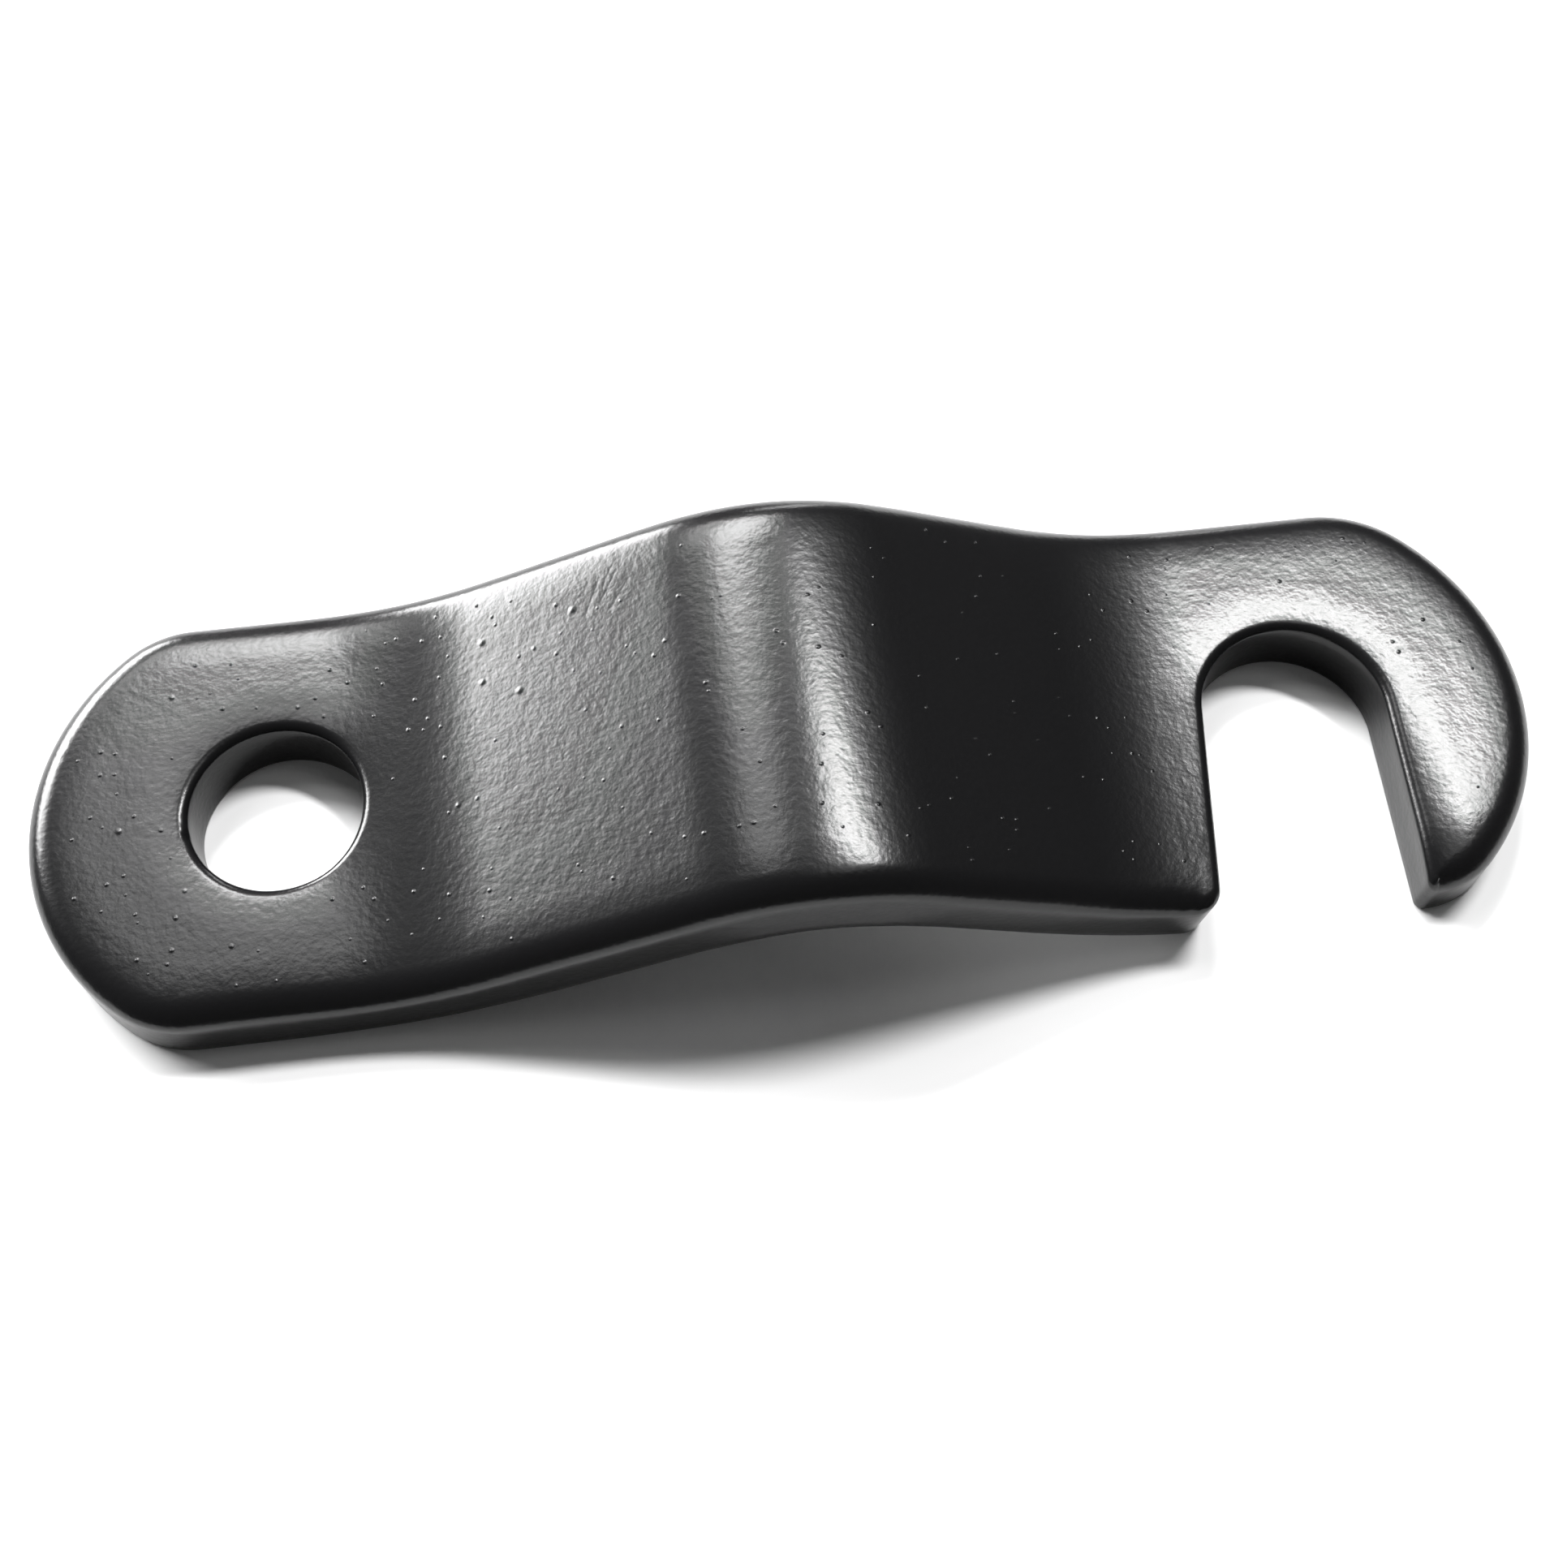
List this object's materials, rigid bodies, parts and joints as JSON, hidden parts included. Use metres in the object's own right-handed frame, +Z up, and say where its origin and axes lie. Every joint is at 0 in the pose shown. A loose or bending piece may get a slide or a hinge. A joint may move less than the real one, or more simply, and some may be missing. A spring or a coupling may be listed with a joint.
{
  "type": "cranked hook arm",
  "caption": "Flat steel arm with a round pivot eye at one end, an open side hook at the other and a low pressed hump between them, powder coated black.",
  "frame": {"origin": "On the plane of the two flat ends' undersides, in the middle of the overall length and width.", "axes": "+X runs from the pivot eye to the hook, +Z is up from the underside, and the hook's mouth opens toward -Y."},
  "size_m": [0.0868, 0.0256, 0.0118],
  "materials": {
    "black_powder_coat": "semi-gloss black powder coat with a light orange peel"
  },
  "bodies": {
    "root": {"hook_arm": "black_powder_coat"}
  },
  "joints": []
}
